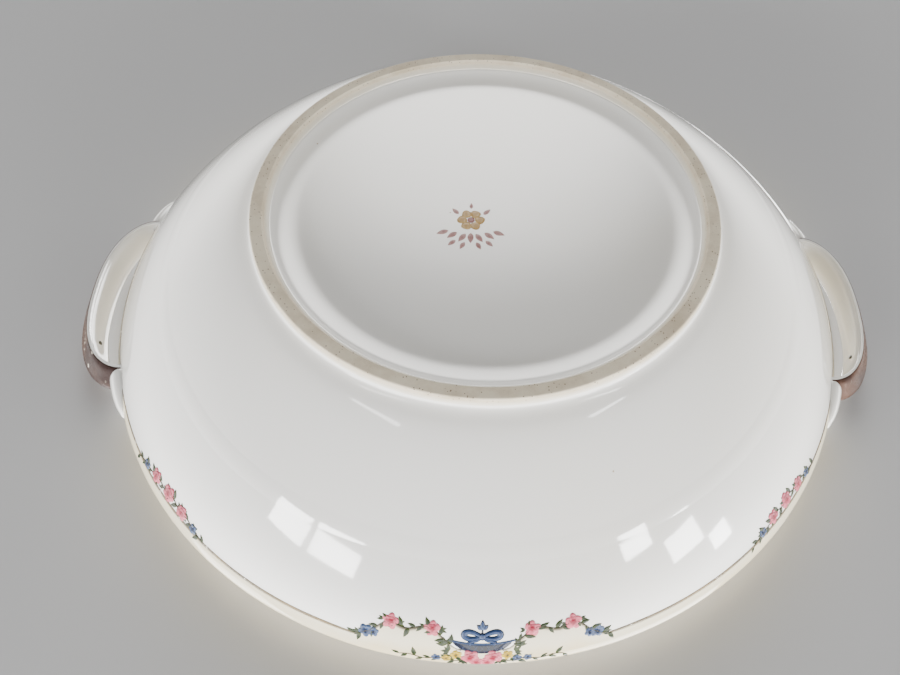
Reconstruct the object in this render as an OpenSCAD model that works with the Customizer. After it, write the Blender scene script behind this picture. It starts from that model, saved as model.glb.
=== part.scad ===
// Round handled serving bowl in glazed porcelain.
// It stands on its foot ring at z = 0, with the rim up and the handles along X.
// Each part that a potter makes apart is a node: body, foot, two handles and the applied decoration.

/* [Body] */
// Outer diameter of the bowl at its rim
rim_d = 228; // [200:1:260]
// Height from the foot face to the rim
bowl_h = 53; // [50:1:60]
// How far the belly stands out past the rim, on the radius
belly_out = 2.5; // [1:0.5:4]
// Depth of the belly below the rim
belly_drop = 7.5; // [6:0.5:10]
// Wall thickness
wall_t = 3.4; // [2.8:0.2:4.5]

/* [Foot] */
// Outer diameter of the foot ring where it stands
foot_d = 133.8; // [124:0.2:140]
// Width of the unglazed face that the bowl stands on
foot_face_w = 3.5; // [3:0.1:5]
// Depth of the recess under the base
recess_h = 5; // [4:0.5:6]

/* [Handles] */
// How far a handle reaches out past the belly
handle_reach = 11.5; // [10:0.5:16]
// Thickness of the handle loop
loop_t = 5; // [4:0.2:5.4]
// Height of the handle loop
loop_h = 12.5; // [10:0.5:15]
// Depth of the top of the handle below the rim
handle_drop = 2; // [2:0.5:4]
// Angle that each handle sits forward of the bowl's middle
handle_lean_a = 3.5; // [0:0.5:6]
// Half of the angle that the straight run of the loop covers
loop_half_a = 13; // [11:0.5:18]
// Half of the angle from one root tip to the other
root_half_a = 22; // [20:0.5:30]
// Thickness of the root pads where the loop joins them
root_t = 3.2; // [2:0.2:4]

/* [Decoration] */
// Raised thickness of the fired gold and transfers
skin_t = 0.16; // [0.1:0.02:0.3]
// Height of the cream border below the rim
border_h = 12.5; // [10:0.5:14]
// Width of the gold line at the lower edge of the border
line_w = 0.8; // [0.5:0.1:1.2]
// Height of the large garlands below the border
garland_h = 9.5; // [8:0.5:12]
// Half of the angle that a large garland covers
garland_half_a = 18; // [14:1:24]
// Height of the small sprays below the border
spray_h = 7; // [5:0.5:9]
// Half of the angle that a small spray covers
spray_half_a = 9.5; // [7:0.5:11]
// Angle from a large garland to the small spray beside it
spray_a = 48; // [44:1:50]
// Diameter of the mark under the base
mark_d = 18; // [14:1:24]
// Distance of the mark's middle to the right of the base's middle
mark_x = 5; // [-10:1:10]
// Distance of the mark's middle forward of the base's middle
mark_y = 8; // [-10:1:10]

/* [Hidden] */
$fn = 192;

rim_r = rim_d / 2;
belly_r = rim_r + belly_out;
belly_z = bowl_h - belly_drop;
foot_r = foot_d / 2;
foot_top_r = foot_r + 3.8;      // where the foot's flare runs into the wall
lip_r = wall_t / 2;
base_t = 4;                     // thickness of the bowl's floor
floor_z = recess_h + base_t;
foot_side_z = 3;                // height of the foot's upright outer side
foot_draft = 0.3;               // how far that side leans out
recess_slope = 6;               // how far the recess narrows from its mouth to its roof
wall_steps = 20;
shoulder_steps = 6;
lip_steps = 8;

handle_r = belly_r + handle_reach;
handle_top_z = bowl_h - handle_drop;
handle_bottom_z = handle_top_z - loop_h;
neck_half_a = loop_half_a + 3;  // where the loop has turned in to its root pad
gap_half_a = loop_half_a - 1.5;
corner_power = 5;               // how square the loop's corners are in plan
loop_steps = 24;
root_steps = 8;
inside_wall = 4;                // how far a handle's blank runs in behind the wall before it is cut
gild_t = 0.3;

glaze = [0.95, 0.94, 0.90];
biscuit = [0.80, 0.74, 0.62];
cream = [0.93, 0.88, 0.72];
gold = [0.66, 0.50, 0.24];
rose = [0.85, 0.50, 0.52];

// Point at t on the cubic curve from a to d that b and c pull on
function cubic(a, b, c, d, t) =
    pow(1 - t, 3) * a + 3 * pow(1 - t, 2) * t * b + 3 * (1 - t) * t * t * c + t * t * t * d;

// Outer wall from the foot up to the belly, and from there to the lip
function outer_wall(t) =
    cubic([foot_top_r, recess_h], [foot_top_r + 10, recess_h + 4],
          [belly_r, belly_z - 9.5], [belly_r, belly_z], t);
function shoulder(t) =
    cubic([belly_r, belly_z], [belly_r, belly_z + 2.6],
          [rim_r + 0.4, bowl_h - 3], [rim_r, bowl_h - lip_r], t);
function lip(a) =
    [rim_r - lip_r + lip_r * cos(a), bowl_h - lip_r + lip_r * sin(a)];

// Inner wall from the lip down to the floor
function inner_wall(t) =
    cubic([rim_r - wall_t, bowl_h - lip_r], [belly_r - wall_t + 0.5, belly_z - 14],
          [foot_top_r + 18, floor_z + 1], [foot_r - 6, floor_z], t);

outer_points = concat(
    [for (i = [0 : wall_steps]) outer_wall(i / wall_steps)],
    [for (i = [1 : shoulder_steps]) shoulder(i / shoulder_steps)]
);
lip_points = [for (i = [1 : lip_steps - 1]) lip(180 * i / lip_steps)];
inner_points = [for (i = [0 : wall_steps]) inner_wall(i / wall_steps)];

// Outer radius of the handle at an angle from its middle: loop, neck, then root pad
function loop_edge(a) = belly_r + root_t + (handle_reach - root_t)
    * pow(max(0, 1 - pow(abs(a) / neck_half_a, corner_power)), 0.5);
function root_edge(a) = belly_r + root_t * (root_half_a - abs(a)) / (root_half_a - neck_half_a);
function handle_edge(a) = abs(a) < neck_half_a ? loop_edge(a) : root_edge(a);
function gap_edge(a) = belly_r + (handle_reach - loop_t)
    * pow(max(0, 1 - pow(abs(a) / gap_half_a, corner_power)), 0.5);
function polar(r, a) = [r * cos(a), r * sin(a)];

handle_angles = concat(
    [for (i = [0 : root_steps - 1]) -root_half_a + (root_half_a - neck_half_a) * i / root_steps],
    [for (i = [0 : loop_steps]) neck_half_a * sin(180 * (i / loop_steps - 0.5))],
    [for (i = [1 : root_steps]) neck_half_a + (root_half_a - neck_half_a) * i / root_steps]
);
gap_angles = [for (i = [0 : loop_steps]) gap_half_a * sin(180 * (i / loop_steps - 0.5))];

// Outline of the bowl's outside, filled in to the axis and grown by a skin
module outside(grow) {
    rotate_extrude()
        polygon(concat([[0, recess_h]], [for (p = outer_points) p + [grow, 0]], [[0, bowl_h - lip_r]]));
}

// Layer of even thickness on the wall between two heights and over an angle about its middle
module wall_skin(z_low, z_high, middle, half_a) {
    intersection() {
        difference() {
            outside(skin_t);
            outside(0);
        }
        rotate([0, 0, middle - half_a])
            rotate_extrude(angle = 2 * half_a)
                translate([foot_r, z_low])
                    square([rim_r, z_high - z_low]);
    }
}

// The same layer all the way round, but for the places where the handles' roots sit
module wall_band(z_low, z_high) {
    intersection() {
        difference() {
            outside(skin_t);
            outside(0);
            handle_blank();
            mirror([1, 0, 0])
                handle_blank();
        }
        translate([0, 0, z_low])
            cylinder(h = z_high - z_low, r = 2 * rim_r);
    }
}

module bowl_body() {
    color(glaze)
        rotate_extrude()
            polygon(concat([[0, recess_h]], outer_points, lip_points, inner_points, [[0, floor_z]]));
}

module foot_ring() {
    mouth_r = foot_r - foot_face_w;
    color(biscuit)
        rotate_extrude()
            polygon([
                [mouth_r, 0],
                [foot_r, 0],
                [foot_r + foot_draft, foot_side_z],
                [foot_top_r, recess_h],
                [mouth_r - recess_slope, recess_h]
            ]);
}

// A loop and its two root pads on the +X side, run in behind the face of the wall
module handle_blank() {
    blank_r = rim_r - wall_t / 2 - inside_wall;
    rotate([0, 0, -handle_lean_a])
        translate([0, 0, handle_bottom_z])
            linear_extrude(loop_h)
                difference() {
                    polygon(concat(
                        [for (a = handle_angles) polar(handle_edge(a), a)],
                        [polar(blank_r, root_half_a), polar(blank_r, -root_half_a)]
                    ));
                    polygon(concat(
                        [for (a = gap_angles) polar(gap_edge(a), a)],
                        [polar(blank_r - 1, gap_half_a), polar(blank_r - 1, -gap_half_a)]
                    ));
                }
}

// That blank cut to the wall it is stuck to
module handle() {
    color(glaze)
        difference() {
            handle_blank();
            outside(0);
            translate([0, 0, bowl_h - lip_r])
                cylinder(h = bowl_h, r = rim_r);
        }
}

// Gold on the outer face of a handle's loop
module handle_gilding() {
    gild_angles = [for (a = handle_angles) if (abs(a) <= neck_half_a) a];
    outer_face = [for (a = gild_angles) polar(handle_edge(a), a)];
    gilt_face = [for (a = gild_angles) polar(handle_edge(a) + gild_t, a)];
    last = len(gild_angles) - 1;
    color(gold)
        rotate([0, 0, -handle_lean_a])
            translate([0, 0, handle_bottom_z])
                linear_extrude(loop_h)
                    polygon(concat(gilt_face, [for (i = [last : -1 : 0]) outer_face[i]]));
}

module left_handle() {
    mirror([1, 0, 0])
        handle();
}

module right_handle() {
    handle();
}

module left_handle_gilding() {
    mirror([1, 0, 0])
        handle_gilding();
}

module right_handle_gilding() {
    handle_gilding();
}

// Gold over the crown of the lip
module rim_gilding() {
    color(gold)
        translate([0, 0, bowl_h])
            difference() {
                cylinder(h = skin_t, r = rim_r - lip_r + 0.5);
                translate([0, 0, -1])
                    cylinder(h = 2, r = rim_r - lip_r - 0.5);
            }
}

module cream_border() {
    color(cream)
        wall_band(bowl_h - border_h + line_w, bowl_h - lip_r);
}

module gold_line() {
    color(gold)
        wall_band(bowl_h - border_h, bowl_h - border_h + line_w);
}

// A transfer below the gold line, with its middle at an angle round the bowl
module transfer(height, middle, half_a) {
    color(rose)
        wall_skin(bowl_h - border_h - height, bowl_h - border_h, middle, half_a);
}

module front_garland() {
    transfer(garland_h, -90, garland_half_a);
}

module back_garland() {
    transfer(garland_h, 90, garland_half_a);
}

module front_left_spray() {
    transfer(spray_h, -90 - spray_a, spray_half_a);
}

module front_right_spray() {
    transfer(spray_h, -90 + spray_a, spray_half_a);
}

module back_left_spray() {
    transfer(spray_h, 90 + spray_a, spray_half_a);
}

module back_right_spray() {
    transfer(spray_h, 90 - spray_a, spray_half_a);
}

module base_mark() {
    color(gold)
        translate([mark_x, -mark_y, recess_h - skin_t])
            cylinder(h = skin_t, d = mark_d);
}

bowl_body();
foot_ring();
left_handle();
right_handle();
rim_gilding();
cream_border();
gold_line();
left_handle_gilding();
right_handle_gilding();
front_garland();
back_garland();
front_left_spray();
front_right_spray();
back_left_spray();
back_right_spray();
base_mark();
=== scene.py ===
"""Round handled serving bowl in glazed porcelain: the looks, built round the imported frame.

The bowl stands on its foot at z = 0 with its handles along X. Sizes are in millimetres until a mesh is made.
"""

from __future__ import annotations

import logging
import math
import random
from collections.abc import Sequence
from dataclasses import dataclass, field
from enum import Enum

import bmesh
import bpy
from mathutils import Matrix, Vector

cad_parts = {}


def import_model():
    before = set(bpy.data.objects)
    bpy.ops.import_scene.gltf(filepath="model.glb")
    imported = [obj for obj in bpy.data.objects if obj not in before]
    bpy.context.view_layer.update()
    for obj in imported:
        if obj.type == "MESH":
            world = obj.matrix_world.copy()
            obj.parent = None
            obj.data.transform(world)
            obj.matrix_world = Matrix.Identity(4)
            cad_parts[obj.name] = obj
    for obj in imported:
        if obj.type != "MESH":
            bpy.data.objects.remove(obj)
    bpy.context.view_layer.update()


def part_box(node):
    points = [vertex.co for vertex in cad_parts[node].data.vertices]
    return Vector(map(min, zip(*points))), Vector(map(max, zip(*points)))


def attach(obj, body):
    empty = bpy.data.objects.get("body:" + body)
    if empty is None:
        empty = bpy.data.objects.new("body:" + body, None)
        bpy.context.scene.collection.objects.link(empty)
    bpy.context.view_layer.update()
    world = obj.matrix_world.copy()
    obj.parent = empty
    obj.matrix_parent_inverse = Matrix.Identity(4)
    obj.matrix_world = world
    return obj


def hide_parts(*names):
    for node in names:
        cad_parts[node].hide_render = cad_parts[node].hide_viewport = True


LOG = logging.getLogger("serving_bowl")
MM = 0.001
HEART = 0.45  # how far along a leaf its darkest place lies
Pair = tuple[float, float]
Triple = tuple[float, float, float]
Colour = tuple[float, float, float]
Socket = bpy.types.NodeSocket


class Side(Enum):
    """Which end of the X axis a handle is on, as its angle round the bowl in degrees."""

    RIGHT = 0.0
    LEFT = 180.0


class Place(Enum):
    """Where a transfer's middle lies round the bowl, in degrees from +X."""

    FRONT = -90.0
    BACK = 90.0
    FRONT_LEFT = -138.0
    FRONT_RIGHT = -42.0
    BACK_LEFT = 138.0
    BACK_RIGHT = 42.0


# ---------------------------------------------------------------- small maths


def cubic(a: Pair, b: Pair, c: Pair, d: Pair, t: float) -> Pair:
    """Point on a cubic curve.

    Args:
        a: Start of the curve.
        b: Point that pulls on its first part.
        c: Point that pulls on its last part.
        d: End of the curve.
        t: How far along, from 0 to 1.

    Returns:
        The point as (radius, height).
    """
    s = 1.0 - t
    w = (s**3, 3 * s * s * t, 3 * s * t * t, t**3)
    return tuple(w[0] * a[i] + w[1] * b[i] + w[2] * c[i] + w[3] * d[i] for i in (0, 1))


def cubic_run(a: Pair, b: Pair, c: Pair, d: Pair, steps: int) -> list[Pair]:
    """Points along a cubic curve, its start left out.

    Args:
        a: Start of the curve.
        b: Point that pulls on its first part.
        c: Point that pulls on its last part.
        d: End of the curve.
        steps: Number of points.

    Returns:
        The points in order.
    """
    return [cubic(a, b, c, d, i / steps) for i in range(1, steps + 1)]


def arc_run(centre: Pair, radius: float, start: float, end: float, steps: int) -> list[Pair]:
    """Points along a round arc, its start left out.

    Args:
        centre: Centre of the arc.
        radius: Its radius.
        start: First angle in degrees.
        end: Last angle in degrees.
        steps: Number of points.

    Returns:
        The points in order.
    """
    angles = [math.radians(start + (end - start) * i / steps) for i in range(1, steps + 1)]
    return [(centre[0] + radius * math.cos(a), centre[1] + radius * math.sin(a)) for a in angles]


def smoothstep(low: float, high: float, value: float) -> float:
    """Soft step from 0 at low to 1 at high."""
    t = min(max((value - low) / (high - low), 0.0), 1.0)
    return t * t * (3.0 - 2.0 * t)


def signed_power(value: float, power: float) -> float:
    """Power of a number's size, with the number's own sign."""
    return math.copysign(abs(value) ** power, value)


# ---------------------------------------------------------------- mesh helpers


@dataclass
class Sheet:
    """Points, faces and their finishes while a piece is being drawn up."""

    points: list[Triple] = field(default_factory=list)
    faces: list[tuple[int, ...]] = field(default_factory=list)
    finishes: list[int] = field(default_factory=list)
    tones: list[float] = field(default_factory=list)

    def point(self, place: Triple, tone: float = 0.0) -> int:
        """Adds a point.

        Args:
            place: Where it is, in millimetres.
            tone: Its shade, 0 at a petal's heart and 1 at its edge.

        Returns:
            The point's number.
        """
        self.points.append(place)
        self.tones.append(tone)
        return len(self.points) - 1

    def face(self, corners: Sequence[int], finish: int = 0) -> None:
        """Adds a face that faces the side its corners run anticlockwise on."""
        self.faces.append(tuple(corners))
        self.finishes.append(finish)

    def tube(self, rings: Sequence[Sequence[int]], closed: bool = False, finish: int = 0) -> None:
        """Joins rings of points with quads.

        Args:
            rings: The rings, each closed on itself.
            closed: Whether the last ring joins the first.
            finish: The finish of the faces.
        """
        pairs = list(zip(rings, rings[1:]))
        if closed:
            pairs.append((rings[-1], rings[0]))
        for low, high in pairs:
            count = len(low)
            for i in range(count):
                j = (i + 1) % count
                self.face((low[i], low[j], high[j], high[i]), finish)

    def mesh(self, name: str) -> bpy.types.Mesh:
        """Turns the sheet into a smooth mesh in metres with its tones kept.

        Args:
            name: Name of the mesh.

        Returns:
            The mesh.
        """
        made = bpy.data.meshes.new(name)
        made.from_pydata([tuple(c * MM for c in p) for p in self.points], [], self.faces)
        made.polygons.foreach_set("material_index", self.finishes)
        made.polygons.foreach_set("use_smooth", [True] * len(self.faces))
        tone = made.attributes.new("tone", "FLOAT", "POINT")
        tone.data.foreach_set("value", self.tones)
        made.update()
        return made


def stand(name: str, mesh: bpy.types.Mesh, *finishes: bpy.types.Material) -> bpy.types.Object:
    """Puts a mesh in the scene at the origin.

    Args:
        name: Name of the piece.
        mesh: Its mesh.
        finishes: Its materials, in the order of the faces' finishes.

    Returns:
        The piece.
    """
    piece = bpy.data.objects.new(name, mesh)
    bpy.context.scene.collection.objects.link(piece)
    for finish in finishes:
        mesh.materials.append(finish)
    return piece


def face_outwards(mesh: bpy.types.Mesh) -> None:
    """Turns every closed shell of a mesh to face outwards."""
    work = bmesh.new()
    work.from_mesh(mesh)
    bmesh.ops.recalc_face_normals(work, faces=work.faces)
    work.to_mesh(mesh)
    work.free()


def hand_over(piece: bpy.types.Object, slot: str, *nodes: str) -> None:
    """Ties a piece to the frame and reports it.

    Args:
        piece: The finished piece.
        slot: Name of a material slot; not used.
        nodes: The frame's nodes that it stands for.
    """
    face_outwards(piece.data)
    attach(piece, "root")
    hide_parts(*nodes)
    LOG.info("%s: %d faces, stands for %s", piece.name, len(piece.data.polygons), nodes)


def lathe(profile: Sequence[Pair], segments: int, sharp: Sequence[int] = ()) -> bpy.types.Mesh:
    """Turns a closed outline round the bowl's axis.

    Args:
        profile: The outline as (radius, height), anticlockwise with the radius to the right.
        segments: Number of steps round the axis.
        sharp: Numbers of the outline's points where the surface has a crease.

    Returns:
        A closed mesh that faces outwards.
    """
    sheet = Sheet()
    rings: list[list[int]] = []
    for radius, height in profile:
        if radius < 1e-6:
            rings.append([sheet.point((0.0, 0.0, height))])
            continue
        ring = []
        for i in range(segments):
            a = 2 * math.pi * i / segments
            ring.append(sheet.point((radius * math.cos(a), radius * math.sin(a), height)))
        rings.append(ring)
    closed = len(rings[0]) > 1 and len(rings[-1]) > 1
    pairs = list(zip(rings, rings[1:])) + ([(rings[-1], rings[0])] if closed else [])
    for low, high in pairs:
        for i in range(segments):
            j = (i + 1) % segments
            if len(low) == 1:
                sheet.face((low[0], high[j], high[i]))
            elif len(high) == 1:
                sheet.face((low[i], low[j], high[0]))
            else:
                sheet.face((low[i], low[j], high[j], high[i]))
    mesh = sheet.mesh("lathe")
    creases = set()
    for k in sharp:
        creases |= {frozenset((rings[k][i], rings[k][(i + 1) % segments])) for i in range(segments)}
    for edge in mesh.edges:
        edge.use_edge_sharp = frozenset(edge.vertices) in creases
    return mesh


# ---------------------------------------------------------------- finishes


def worked(tree: bpy.types.NodeTree, operation: str, a: Socket, b: Socket | float) -> Socket:
    """Works on one value with another.

    Args:
        tree: The nodes that it goes among.
        operation: What is done.
        a: First value.
        b: Second value, a socket or a number.

    Returns:
        The result.
    """
    node = tree.nodes.new("ShaderNodeMath")
    node.operation = operation
    tree.links.new(a, node.inputs[0])
    if isinstance(b, (int, float)):
        node.inputs[1].default_value = b
    else:
        tree.links.new(b, node.inputs[1])
    return node.outputs[0]


def ranged(tree: bpy.types.NodeTree, source: Socket, low: float, high: float,
           to_low: float, to_high: float) -> Socket:
    """Maps one range of a value to another, softly and held at its ends.

    Args:
        tree: The nodes that it goes among.
        source: The value.
        low: Start of its range.
        high: End of its range.
        to_low: What the start becomes.
        to_high: What the end becomes.

    Returns:
        The mapped value.
    """
    node = tree.nodes.new("ShaderNodeMapRange")
    node.interpolation_type = "SMOOTHSTEP"
    for name, value in zip(("From Min", "From Max", "To Min", "To Max"), (low, high, to_low, to_high)):
        node.inputs[name].default_value = value
    tree.links.new(source, node.inputs["Value"])
    return node.outputs[0]


class Recipe:
    """A node material while it is being made."""

    def __init__(self, name: str) -> None:
        """Starts a material with its main shader.

        Args:
            name: Name of the material.
        """
        self.material = bpy.data.materials.new(name)
        self.material.use_nodes = True
        self.tree = self.material.node_tree
        self.shader = next(n for n in self.tree.nodes if n.type == "BSDF_PRINCIPLED")
        self.place = self.tree.nodes.new("ShaderNodeTexCoord").outputs["Object"]

    def set(self, **values: object) -> None:
        """Sets the shader's own sockets, with _ for each space in a socket's name."""
        for name, value in values.items():
            self.shader.inputs[name.replace("_", " ")].default_value = value

    def join(self, source: Socket, target: Socket) -> None:
        """Links two sockets."""
        self.tree.links.new(source, target)

    def feed(self, socket: str, source: Socket) -> None:
        """Links a pattern to one of the shader's sockets."""
        self.join(source, self.shader.inputs[socket])

    def noise(self, scale: float, detail: float = 3.0, roughness: float = 0.5) -> Socket:
        """Cloudy pattern.

        Args:
            scale: How many clouds there are to a metre.
            detail: How many finer clouds lie on them.
            roughness: How strong the finer ones are.

        Returns:
            The pattern's value.
        """
        node = self.tree.nodes.new("ShaderNodeTexNoise")
        node.inputs["Scale"].default_value = scale
        node.inputs["Detail"].default_value = detail
        node.inputs["Roughness"].default_value = roughness
        self.join(self.place, node.inputs["Vector"])
        return node.outputs[0]

    def specks(self, scale: float, size: float, share: float) -> Socket:
        """Scattered round specks.

        Args:
            scale: How many cells there are to a metre, each with room for one speck.
            size: Radius of a speck as a part of its cell.
            share: The part of the cells that hold a speck.

        Returns:
            1 in a speck and 0 outside.
        """
        cell = self.tree.nodes.new("ShaderNodeTexVoronoi")
        cell.inputs["Scale"].default_value = scale
        self.join(self.place, cell.inputs["Vector"])
        spot = self.stretch(cell.outputs["Distance"], size, size * 0.6)
        split = self.tree.nodes.new("ShaderNodeSeparateColor")
        self.join(cell.outputs["Color"], split.inputs["Color"])
        chosen = self.math("LESS_THAN", split.outputs[0], share)
        return self.math("MULTIPLY", spot, chosen)

    def math(self, operation: str, a: Socket, b: Socket | float) -> Socket:
        """Works on one value with another."""
        return worked(self.tree, operation, a, b)

    def stretch(self, source: Socket, low: float, high: float,
                to_low: float = 0.0, to_high: float = 1.0) -> Socket:
        """Maps one range of a value to another."""
        return ranged(self.tree, source, low, high, to_low, to_high)

    def blend(self, part: Socket, a: Colour | Socket, b: Colour | Socket) -> Socket:
        """Mixes two colours.

        Args:
            part: How much of the second colour there is.
            a: First colour.
            b: Second colour.

        Returns:
            The mixed colour.
        """
        node = self.tree.nodes.new("ShaderNodeMix")
        node.data_type = "RGBA"
        self.join(part, node.inputs["Factor"])
        for socket, colour in ((node.inputs[6], a), (node.inputs[7], b)):
            if isinstance(colour, tuple):
                socket.default_value = (*colour, 1.0)
            else:
                self.join(colour, socket)
        return node.outputs[2]

    def axis(self, source: Socket, index: int) -> Socket:
        """One of a place's three numbers."""
        split = self.tree.nodes.new("ShaderNodeSeparateXYZ")
        self.join(source, split.inputs[0])
        return split.outputs[index]

    def tone(self) -> Socket:
        """The shade that a print's points carry."""
        node = self.tree.nodes.new("ShaderNodeAttribute")
        node.attribute_name = "tone"
        return node.outputs["Fac"]

    def bump(self, height: Socket, depth: float) -> None:
        """Raises the surface by a pattern.

        Args:
            height: The pattern.
            depth: How far 1 in the pattern stands up, in metres.
        """
        node = self.tree.nodes.new("ShaderNodeBump")
        node.inputs["Distance"].default_value = depth
        self.join(height, node.inputs["Height"])
        self.feed("Normal", node.outputs[0])


@dataclass(frozen=True)
class Glaze:
    """Clear glaze over porcelain, with the clouding, ripple and kiln specks of a fired piece."""

    name: str = "porcelain_glaze"
    light: Colour = (0.86, 0.845, 0.80)
    cool: Colour = (0.84, 0.835, 0.815)
    speck: Colour = (0.42, 0.34, 0.24)
    ripple: float = 0.00022

    def make(self) -> bpy.types.Material:
        """Builds the material."""
        r = Recipe(self.name)
        body = r.blend(r.stretch(r.noise(9.0, 2.0), 0.35, 0.65), self.light, self.cool)
        specks = r.specks(95.0, 0.03, 0.10)
        r.feed("Base Color", r.blend(specks, body, self.speck))
        r.feed("Roughness", r.stretch(r.noise(40.0, 4.0), 0.3, 0.75, 0.045, 0.10))
        r.set(Specular_IOR_Level=0.5, IOR=1.52, Coat_Weight=1.0, Coat_Roughness=0.04, Coat_IOR=1.5)
        wave = r.math("ADD", r.noise(26.0, 1.0), r.math("MULTIPLY", r.noise(160.0, 2.0), 0.06))
        r.bump(wave, self.ripple)
        return r.material


@dataclass(frozen=True)
class FootGlaze:
    """Foot ring: bare biscuit on its standing face, a toasted line, then glaze up both sides, with painted
    shade darkening the glaze low on the ring.
    """

    name: str = "foot_biscuit"
    biscuit: Colour = (0.66, 0.59, 0.46)
    stained: Colour = (0.52, 0.44, 0.32)
    toasted: Colour = (0.58, 0.46, 0.30)
    glaze: Colour = (0.86, 0.845, 0.80)
    pit: Colour = (0.14, 0.09, 0.055)
    # painted shade: a darker glaze colour for low on the foot ring
    painted_shade: Colour = (0.66, 0.60, 0.47)
    bare_top: float = 0.0008

    def make(self) -> bpy.types.Material:
        """Builds the material."""
        r = Recipe(self.name)
        height = r.axis(r.place, 2)
        ragged = r.math("ADD", height, r.stretch(r.noise(700.0, 3.0), 0.3, 0.7, -0.00012, 0.00012))
        glazed = r.stretch(ragged, self.bare_top, self.bare_top + 0.0008)
        edge = r.stretch(ragged, self.bare_top - 0.00018, self.bare_top + 0.00004)
        clay = r.blend(r.stretch(r.noise(55.0, 6.0, 0.7), 0.42, 0.68), self.biscuit, self.stained)
        clay = r.blend(r.specks(1500.0, 0.30, 0.24), clay, self.pit)
        clay = r.blend(r.math("MULTIPLY", edge, 0.3), clay, self.toasted)
        # painted shade: the glaze is darker towards the bottom of the ring, full at 0.8 mm up and gone by
        # 4.2 mm up
        painted_shade_glaze = r.blend(r.stretch(ragged, 0.0008, 0.0042), self.painted_shade, self.glaze)
        r.feed("Base Color", r.blend(glazed, clay, painted_shade_glaze))
        r.feed("Roughness", r.stretch(glazed, 0.0, 1.0, 0.82, 0.07))
        r.bump(r.math("MULTIPLY", r.noise(2600.0, 3.0), r.stretch(glazed, 0.0, 1.0, 1.0, 0.02)), 0.00008)
        return r.material


@dataclass(frozen=True)
class Gilding:
    """Fired gold, rubbed through to the glaze in places."""

    name: str
    gold: Colour = (0.60, 0.40, 0.17)
    rubbed: Colour = (0.34, 0.20, 0.10)
    bare: Colour = (0.72, 0.66, 0.56)
    wear: float = 0.30
    grain: float = 260.0
    metal: float = 0.92
    shine: float = 0.5

    def make(self) -> bpy.types.Material:
        """Builds the material."""
        r = Recipe(self.name)
        cloud = r.noise(self.grain, 5.0, 0.62)
        fine = r.noise(self.grain * 4.0, 3.0, 0.6)
        patches = r.math("ADD", cloud, r.math("MULTIPLY", fine, 0.25))
        worn = r.stretch(patches, 0.86 - self.wear, 0.93 - self.wear)
        metal = r.blend(r.stretch(r.noise(self.grain * 0.4, 4.0), 0.38, 0.62), self.gold, self.rubbed)
        r.feed("Base Color", r.blend(worn, metal, self.bare))
        r.feed("Metallic", r.stretch(worn, 0.0, 1.0, self.metal, 0.0))
        r.feed("Roughness", r.stretch(fine, 0.3, 0.7, 0.22, 0.42))
        r.set(Specular_IOR_Level=self.shine)
        r.bump(cloud, 0.00003)
        return r.material


@dataclass(frozen=True)
class Enamel:
    """One colour of a fired transfer, deeper at a petal's heart than at its edge."""

    name: str
    heart: Colour
    edge: Colour
    mottle: float = 0.30

    def make(self) -> bpy.types.Material:
        """Builds the material."""
        r = Recipe(self.name)
        uneven = r.stretch(r.noise(900.0, 3.0), 0.25, 0.75, -self.mottle, self.mottle)
        shade = r.math("ADD", r.tone(), uneven)
        r.feed("Base Color", r.blend(r.stretch(shade, 0.25, 1.05), self.heart, self.edge))
        r.feed("Roughness", r.stretch(r.noise(220.0, 2.0), 0.3, 0.7, 0.09, 0.17))
        r.set(Specular_IOR_Level=0.22)
        return r.material


@dataclass(frozen=True)
class Ground:
    """Cream ground colour, a little uneven where it was brushed on."""

    name: str = "cream_ground"
    full: Colour = (0.82, 0.70, 0.44)
    thin: Colour = (0.84, 0.765, 0.57)

    def make(self) -> bpy.types.Material:
        """Builds the material."""
        r = Recipe(self.name)
        shade = r.math("ADD", r.tone(), r.stretch(r.noise(70.0, 4.0), 0.3, 0.7, -0.25, 0.25))
        r.feed("Base Color", r.blend(r.stretch(shade, 0.1, 0.9), self.full, self.thin))
        r.feed("Roughness", r.stretch(r.noise(60.0, 3.0), 0.3, 0.7, 0.06, 0.11))
        r.set(Specular_IOR_Level=0.4)
        r.bump(r.noise(26.0, 1.0), 0.0002)
        return r.material


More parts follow.
